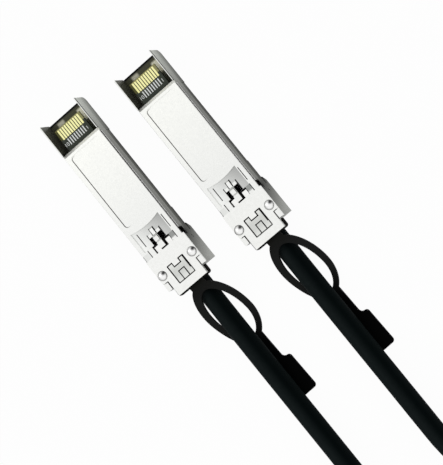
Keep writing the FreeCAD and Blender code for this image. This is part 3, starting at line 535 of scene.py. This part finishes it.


# channel and nose: painted shade on the walls outside, with painted highlights along their ledges, and
# painted light and shade inside the mouth
bowl = {
    # painted shade down the walls, painted light at the front, and painted shade on the nose
    "under": (0.03, 0.03, 0.028),
    "lower": (0.16, 0.165, 0.15),
    "upper": (0.36, 0.365, 0.345),
    "underRise": (2.8, 5.6),
    "upperRise": (6.3, 6.5),
    "front": (0.85, 0.88, 0.82),
    "frontBack": (15.0, 1.0),
    "frontUp": (3.0, 10.0, 0.3, 1.0),
    "noseDark": (0.03, 0.032, 0.028),
    "noseLight": (0.62, 0.63, 0.60),
    "noseStart": (45.0, 47.0),
    "noseBack": (47.5, 56.5, 0.0, 0.8),
    "noseUp": (9.0, 0.0, 0.0, 0.35),
    "cloud": (500, 4),
    "cloudShare": 0.25,
    "grain": (3600, 3),
    "roughness": (0.33, 0.1),
    "specular": 0.15,
    "edge": (0.45, 0.45, 0.45),
    "relief": (0.00003, 0.5),
    "crisp": 0.02,
    "outerSoft": 0.04,
    # painted highlights along the seam ledges on both sides, on top of the front section and along the
    # ledge on the right side; painted shade down the right edge of the front section, in the recess by the
    # flare and on a patch on the left there; the underside a plain mid grey
    "outer": [
        (((6.3, 7.0), (11.6, 47.4), (9.86, 10.3)), 1.0, (0.86, 0.86, 0.85)),
        (((-7.0, -6.3), (11.6, 47.4), (9.86, 10.3)), 1.0, (0.92, 0.92, 0.91)),
        ((None, (-0.5, 11.6), (10.96, 11.3)), 1.0, (0.80, 0.81, 0.78)),
        (((6.57, 6.8), (-0.5, 11.6), (10.7, 11.3)), 0.9, (0.03, 0.03, 0.03)),
        (((6.3, 8.0), (11.6, 45.3), (6.36, 6.62)), 0.6, (0.42, 0.43, 0.41)),
        ((None, (45.8, 48.5), (7.4, 10.3)), 1.0, (0.008, 0.008, 0.008)),
        (((-7.0, -6.45), (45.9, 47.85), (9.8, 10.8)), 0.9, (0.05, 0.05, 0.05)),
        (((-6.5, 6.5), (0.2, 47.2), (2.0, 3.15)), 1.0, (0.55, 0.56, 0.54)),
    ],
    "mouth": ((-6.37, 6.37), (-0.5, 47.5), (3.2, 11.0)),
    "mouthMetal": 0.3,
    # painted shade on the inside of the mouth
    "wall": (0.13, 0.133, 0.105),
    "innerSoft": 0.3,
    # painted shadow on the floor in front of the card, painted light on the floor to the left, a painted
    # cream reflection to the right, painted shadow inside the front lip and painted shade deep inside
    "inner": [
        ((None, (0.8, 5.5), (3.3, 3.8)), 1.0, (0.075, 0.075, 0.045)),
        (((-4.2, -2.0), (1.0, 2.3), (3.3, 3.8)), 0.9, (0.75, 0.73, 0.58)),
        (((2.7, 6.0), (1.7, 5.4), (3.3, 3.8)), 1.0, (1.0, 0.98, 0.78)),
        ((None, (-0.5, 0.85), (3.2, 3.8)), 1.0, (0.002, 0.002, 0.002)),
        ((None, (9.6, 48.0), None), 0.9, (0.006, 0.006, 0.005)),
    ],
}


def bowlFinish(plug, bowl):
    finish = Finish("castBowl")
    place = finish.plugPlace(plug)
    back, up = place[1:]
    cloud = finish.noise(*bowl["cloud"])
    grain = finish.noise(*bowl["grain"])
    # painted shade: darker low down, lighter at the front, and the nose dark at its top front, lighter
    # further back and low down
    tone = finish.mix(up.ramp(*bowl["underRise"]), bowl["under"], bowl["lower"])
    tone = finish.mix(up.ramp(*bowl["upperRise"]), tone, bowl["upper"])
    front = back.ramp(*bowl["frontBack"]) * up.ramp(*bowl["frontUp"])
    tone = finish.mix(front, tone, bowl["front"])
    nose = (back.ramp(*bowl["noseBack"]) + up.ramp(*bowl["noseUp"])).clamped()
    noseTone = finish.mix(nose, bowl["noseDark"], bowl["noseLight"])
    tone = finish.mix(back.ramp(*bowl["noseStart"]), tone, noseTone)
    tone = finish.mix(cloud * bowl["cloudShare"], tone, bowl["lower"])
    tone = finish.patched(tone, place, bowl["outer"], bowl["outerSoft"])
    # painted light and shade inside the mouth
    innerTone = finish.patched(bowl["wall"], place, bowl["inner"], bowl["innerSoft"])
    mouth = finish.inside(place, bowl["mouth"], bowl["crisp"])
    return finish.done(
        Base_Color=finish.mix(mouth, tone, innerTone),
        Metallic=mouth.ramp(0.0, 1.0, 1.0, bowl["mouthMetal"]),
        Roughness=rough(grain, *bowl["roughness"]),
        Specular_Tint=bowl["edge"],
        Specular_IOR_Level=bowl["specular"],
        Normal=finish.bump(grain, *bowl["relief"]))


# stamped plate: bright sheet, with painted shade in the cut edges of its window and notches and on a strip
# near its right back corner
sheet = {
    "bright": (0.93, 0.935, 0.915),
    "mottle": (0.82, 0.825, 0.80),
    "cloud": (1100, 4, 0.6),
    "cloudRange": (0.3, 0.75),
    "cloudShare": 0.6,
    "grain": (4200, 3),
    "roughness": (0.32, 0.08),
    "relief": (0.00002, 0.35),
    "soft": 0.03,
    # painted shade in the window, the notches and the strip on the right
    "patches": [
        (((-3.05, 3.05), (51.9, 58.3), (9.0, 11.02)), 1.0, (0.01, 0.01, 0.01)),
        (((-5.62, -4.9), (55.0, 58.1), (9.0, 11.02)), 1.0, (0.01, 0.01, 0.01)),
        (((4.9, 5.62), (55.0, 58.1), (9.0, 11.02)), 1.0, (0.01, 0.01, 0.01)),
        (((5.2, 5.6), (58.2, 60.7), (8.0, 11.02)), 0.8, (0.55, 0.56, 0.54)),
    ],
}


def sheetFinish(plug, sheet):
    finish = Finish("stampedSheet")
    place = finish.plugPlace(plug)
    cloud = finish.noise(*sheet["cloud"])
    grain = finish.noise(*sheet["grain"])
    mottled = cloud.ramp(*sheet["cloudRange"]) * sheet["cloudShare"]
    tone = finish.mix(mottled, sheet["bright"], sheet["mottle"])
    return finish.done(
        Base_Color=finish.patched(tone, place, sheet["patches"], sheet["soft"]),
        Metallic=1.0,
        Roughness=rough(grain, *sheet["roughness"]),
        Normal=finish.bump(grain, *sheet["relief"]))


# slider: its tines are bright on top, with painted shade down their cut sides
slider = {
    "bright": (0.94, 0.94, 0.92),
    "cut": (0.008, 0.008, 0.008),
    "topRise": (10.35, 10.41),
    "grain": (3600, 3),
    "roughness": (0.31, 0.1),
    "specular": 0.1,
    "relief": (0.00003, 0.2),
}


def sliderFinish(plug, slider):
    finish = Finish("sliderSheet")
    up = finish.plugPlace(plug)[2]
    grain = finish.noise(*slider["grain"])
    # painted shade on everything below the top
    top = up.ramp(*slider["topRise"])
    return finish.done(
        Base_Color=finish.mix(top, slider["cut"], slider["bright"]),
        Metallic=top,
        Roughness=rough(grain, *slider["roughness"]),
        Specular_IOR_Level=slider["specular"],
        Normal=finish.bump(grain, *slider["relief"]))


# domed rivets: painted shade round each rim, and a painted reflection of the dark side of the room in each
# dome
rivet = {
    "bright": (0.95, 0.95, 0.94),
    "spread": 5.45,
    "back": 53.4,
    "rim": (0.38, 0.38, 0.37),
    "rimRise": (1.08, 1.38),
    "rimShare": 0.9,
    "spot": (0.07, 0.07, 0.07),
    "spotAcross": 0.80,
    "spotBack": -0.45,
    "spotFade": (0.75, 0.2625),
    "grain": (2500, 2),
    "roughness": (0.2, 0.08),
}


def rivetFinish(plug, rivet):
    finish = Finish("rivetDome")
    across, back = finish.plugPlace(plug)[:2]
    side = across.above(0.0) * 2.0 - 1.0  # 1 on the right rivet, -1 on the left
    x, y = across - side * rivet["spread"], back - rivet["back"]
    spotX, spotY = x - rivet["spotAcross"], y - rivet["spotBack"]
    # painted reflection of the dark side of the room
    spot = ((spotX * spotX + spotY * spotY) ** 0.5).ramp(*rivet["spotFade"])
    # painted shade round the rim
    rim = ((x * x + y * y) ** 0.5).ramp(*rivet["rimRise"])
    tone = finish.mix(rim * rivet["rimShare"], rivet["bright"], rivet["rim"])
    grain = finish.noise(*rivet["grain"])
    return finish.done(
        Base_Color=finish.mix(spot, tone, rivet["spot"]),
        Metallic=1.0,
        Roughness=rough(grain, *rivet["roughness"]))


# other metal of the plugs
metals = {
    "return_spring": {"tone": (0.55, 0.55, 0.56), "least": 0.20, "strength": 0.1},
    "crimp_ferrule": {"tone": (0.70, 0.70, 0.70), "least": 0.30, "strength": 0.3},
    "transmit_pair": {"tone": (0.75, 0.76, 0.78), "least": 0.25, "strength": 0.6},
    "receive_pair": {"tone": (0.75, 0.76, 0.78), "least": 0.25, "strength": 0.6},
}
metalSkin = {"cloud": (160, 4), "dim": 0.94, "grain": (3600, 3), "swing": 0.1, "depth": 0.00003}


def metalFinish(name, metal):
    finish = Finish(name)
    cloud = finish.noise(*metalSkin["cloud"])
    grain = finish.noise(*metalSkin["grain"])
    dim = [part * metalSkin["dim"] for part in metal["tone"]]
    return finish.done(
        Base_Color=finish.mix(cloud, dim, metal["tone"]),
        Metallic=1.0,
        Roughness=rough(grain, metal["least"], metalSkin["swing"]),
        Normal=finish.bump(grain, metalSkin["depth"], metal["strength"]))


# other plastic of the plugs
plastics = {
    "strain_sleeve": {"tone": (0.008, 0.008, 0.008), "least": 0.54, "specular": 0.2, "grain": (1800, 3)},
    "jacket_end": {"tone": (0.008, 0.009, 0.009), "least": 0.44, "specular": 0.2, "grain": (1800, 3)},
    "memory_chip": {"tone": (0.02, 0.02, 0.02), "least": 0.44, "specular": 0.4, "grain": (3000, 3)},
    "coupling_capacitors": {"tone": (0.30, 0.22, 0.14), "least": 0.44, "specular": 0.4, "grain": (3000, 3)},
}
plasticSkin = {"cloudShare": 0.125, "cloudDetail": 4, "dark": 0.8, "light": 1.2, "swing": 0.12,
               "relief": (0.00003, 0.4)}


def plasticFinish(name, plastic):
    finish = Finish(name)
    cloud = finish.noise(plastic["grain"][0] * plasticSkin["cloudShare"], plasticSkin["cloudDetail"])
    grain = finish.noise(*plastic["grain"])
    dark = [part * plasticSkin["dark"] for part in plastic["tone"]]
    light = [part * plasticSkin["light"] for part in plastic["tone"]]
    return finish.done(
        Base_Color=finish.mix(cloud, dark, light),
        Roughness=rough(grain, plastic["least"], plasticSkin["swing"]),
        Specular_IOR_Level=plastic["specular"],
        Normal=finish.bump(grain, *plasticSkin["relief"]))


# edge card: dark laminate, painted olive-gold along its front margin and its side margins, palest at the
# front and on the right
card = {
    "dark": (0.038, 0.047, 0.036),
    "light": (0.056, 0.065, 0.050),
    "cloud": (300, 3),
    "roughness": (0.37, 0.06),
    "specular": 0.15,
    "soft": 0.15,
    "patches": [
        (((-5.2, 5.2), (3.0, 3.62), None), 0.9, (0.42, 0.39, 0.14)),
        (((3.85, 5.2), (3.0, 5.7), None), 0.9, (0.40, 0.38, 0.17)),
        (((-5.2, -3.95), (3.0, 6.4), None), 0.85, (0.13, 0.125, 0.03)),
    ],
}


def cardFinish(plug, card):
    finish = Finish("cardLaminate")
    place = finish.plugPlace(plug)
    cloud = finish.noise(*card["cloud"])
    tone = finish.mix(cloud, card["dark"], card["light"])
    return finish.done(
        Base_Color=finish.patched(tone, place, card["patches"], card["soft"]),
        Roughness=rough(cloud, *card["roughness"]),
        Specular_IOR_Level=card["specular"])


# printed marks on the card: first and last contact number, and a tick behind each contact between
marks = {
    "top": 0.00886,
    "thickness": 0.00002,
    "numbers": {"10": -0.0040, "1": 0.0037},
    "numberSize": 0.0015,
    "numberBack": 0.0083,
    "ticks": 8,
    "pitch": 0.0008,
    "tickWidth": 0.00034,
    "tickLength": 0.0020,
    "tickBack": 0.0080,
    "dull": (0.86, 0.90, 0.87),
    "bright": (0.98, 1.0, 0.98),
    "fleck": (4000, 2),
    "roughness": 0.6,
    "specular": 0.2,
}


def printMarks(plug, place, marks):
    bpy.ops.object.select_all(action="DESELECT")
    height = marks["top"] + marks["thickness"] / 2
    parts = []
    for text, x in marks["numbers"].items():
        bpy.ops.object.text_add(location=(place.x + x, place.y - marks["numberBack"], height))
        label = bpy.context.object
        label.data.body = text
        label.data.size = marks["numberSize"]
        label.data.extrude = marks["thickness"] / 2
        label.data.align_x = "CENTER"
        label.data.align_y = "CENTER"
        bpy.ops.object.convert(target="MESH")
        parts.append(bpy.context.object)
    for i in range(marks["ticks"]):
        x = (i - (marks["ticks"] - 1) / 2) * marks["pitch"]
        bpy.ops.mesh.primitive_cube_add(size=1, location=(place.x + x, place.y - marks["tickBack"], height))
        tick = bpy.context.object
        tick.scale = (marks["tickWidth"], marks["tickLength"], marks["thickness"])
        parts.append(tick)
    for part in parts:
        part.select_set(True)
    bpy.ops.object.transform_apply(location=True, rotation=True, scale=True)
    bpy.ops.object.join()
    printed = bpy.context.object
    printed.name = "cardMarks" + plug.upper()
    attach(printed, root)
    return printed


def markFinish(marks):
    finish = Finish("markInk")
    fleck = finish.noise(*marks["fleck"])
    return finish.done(
        Base_Color=finish.mix(fleck, marks["dull"], marks["bright"]),
        Roughness=marks["roughness"],
        Specular_IOR_Level=marks["specular"])


# pull tab: palest round its ring, darkest at its handle
tab = {
    "head": (0.0132, 0.0134, 0.0118),
    "ring": (0.0215, 0.0222, 0.0218),
    "handle": (0.0024, 0.0024, 0.0026),
    "headToRing": (61.0, 65.0),
    "ringToHandle": (76.0, 85.0),
    "pit": (0.001, 0.001, 0.001),
    "pitShare": 0.4,
    "grain": (2400, 3),
    "roughness": (0.6, 0.12),
    "specular": 0.012,
    "relief": (0.00003, 0.4),
}


def tabFinish(plug, tab):
    finish = Finish("tabPlastic")
    back = finish.plugPlace(plug)[1]
    grain = finish.noise(*tab["grain"])
    tone = finish.mix(back.ramp(*tab["headToRing"]), tab["head"], tab["ring"])
    tone = finish.mix(back.ramp(*tab["ringToHandle"]), tone, tab["handle"])
    return finish.done(
        Base_Color=finish.mix(grain * tab["pitShare"], tone, tab["pit"]),
        Roughness=rough(grain, *tab["roughness"]),
        Specular_IOR_Level=tab["specular"],
        Normal=finish.bump(grain, *tab["relief"]))


# plated contacts
gold = {
    "deep": (0.90, 0.86, 0.36),
    "pale": (0.96, 0.94, 0.52),
    "cloud": (700, 3),
    "roughness": (0.28, 0.1),
}


def goldFinish(gold):
    finish = Finish("contactGold")
    cloud = finish.noise(*gold["cloud"])
    return finish.done(
        Base_Color=finish.mix(cloud, gold["deep"], gold["pale"]),
        Metallic=1.0,
        Roughness=rough(cloud, *gold["roughness"]))


# woven strap round the coil
tie = {
    "dark": (0.008, 0.008, 0.009),
    "light": (0.03, 0.03, 0.032),
    "threads": 9000.0,
    "roughness": (0.85, -0.1),
    "specular": 0.2,
    "relief": (0.00012, 0.8),
}


def tieFinish(tie):
    finish = Finish("tieWeave")
    across, along, up = finish.parts(finish.place())
    warp = (across * tie["threads"]).wave()
    weft = ((along + up) * tie["threads"]).wave()
    weave = warp * weft * 0.5 + 0.5  # from 0 to 1
    return finish.done(
        Base_Color=finish.mix(weave, tie["dark"], tie["light"]),
        Roughness=rough(weave, *tie["roughness"]),
        Specular_IOR_Level=tie["specular"],
        Normal=finish.bump(weave, *tie["relief"]))


def pieceOf(name):
    return pieces.get(name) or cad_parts[name]


def paint(piece, material):
    piece.data.materials.clear()
    piece.data.materials.append(material)


for name, metal in metals.items():
    material = metalFinish(name + "Metal", metal)
    for plug in plugs:
        paint(pieceOf(name + "_" + plug), material)
for name, plastic in plastics.items():
    material = plasticFinish(name + "Plastic", plastic)
    for plug in plugs:
        paint(pieceOf(name + "_" + plug), material)
plating = goldFinish(gold)
ink = markFinish(marks)
for plug, place in plugs.items():
    paint(pieceOf("contact_pads_" + plug), plating)
    paint(pieceOf("paddle_card_" + plug), cardFinish(place, card))
    paint(pieceOf("pull_tab_" + plug), tabFinish(place, tab))
    paint(printMarks(plug, place, marks), ink)
    paint(pieceOf("face_shell_" + plug), lidFinish(place, lid))
    paint(pieceOf("back_shell_" + plug), bowlFinish(place, bowl))
    paint(pieceOf("cover_plate_" + plug), sheetFinish(place, sheet))
    paint(pieceOf("cover_rivets_" + plug), rivetFinish(place, rivet))
    paint(pieceOf("latch_slider_" + plug), sliderFinish(place, slider))
paint(pieceOf("coil_tie"), tieFinish(tie))
print("finishes painted")
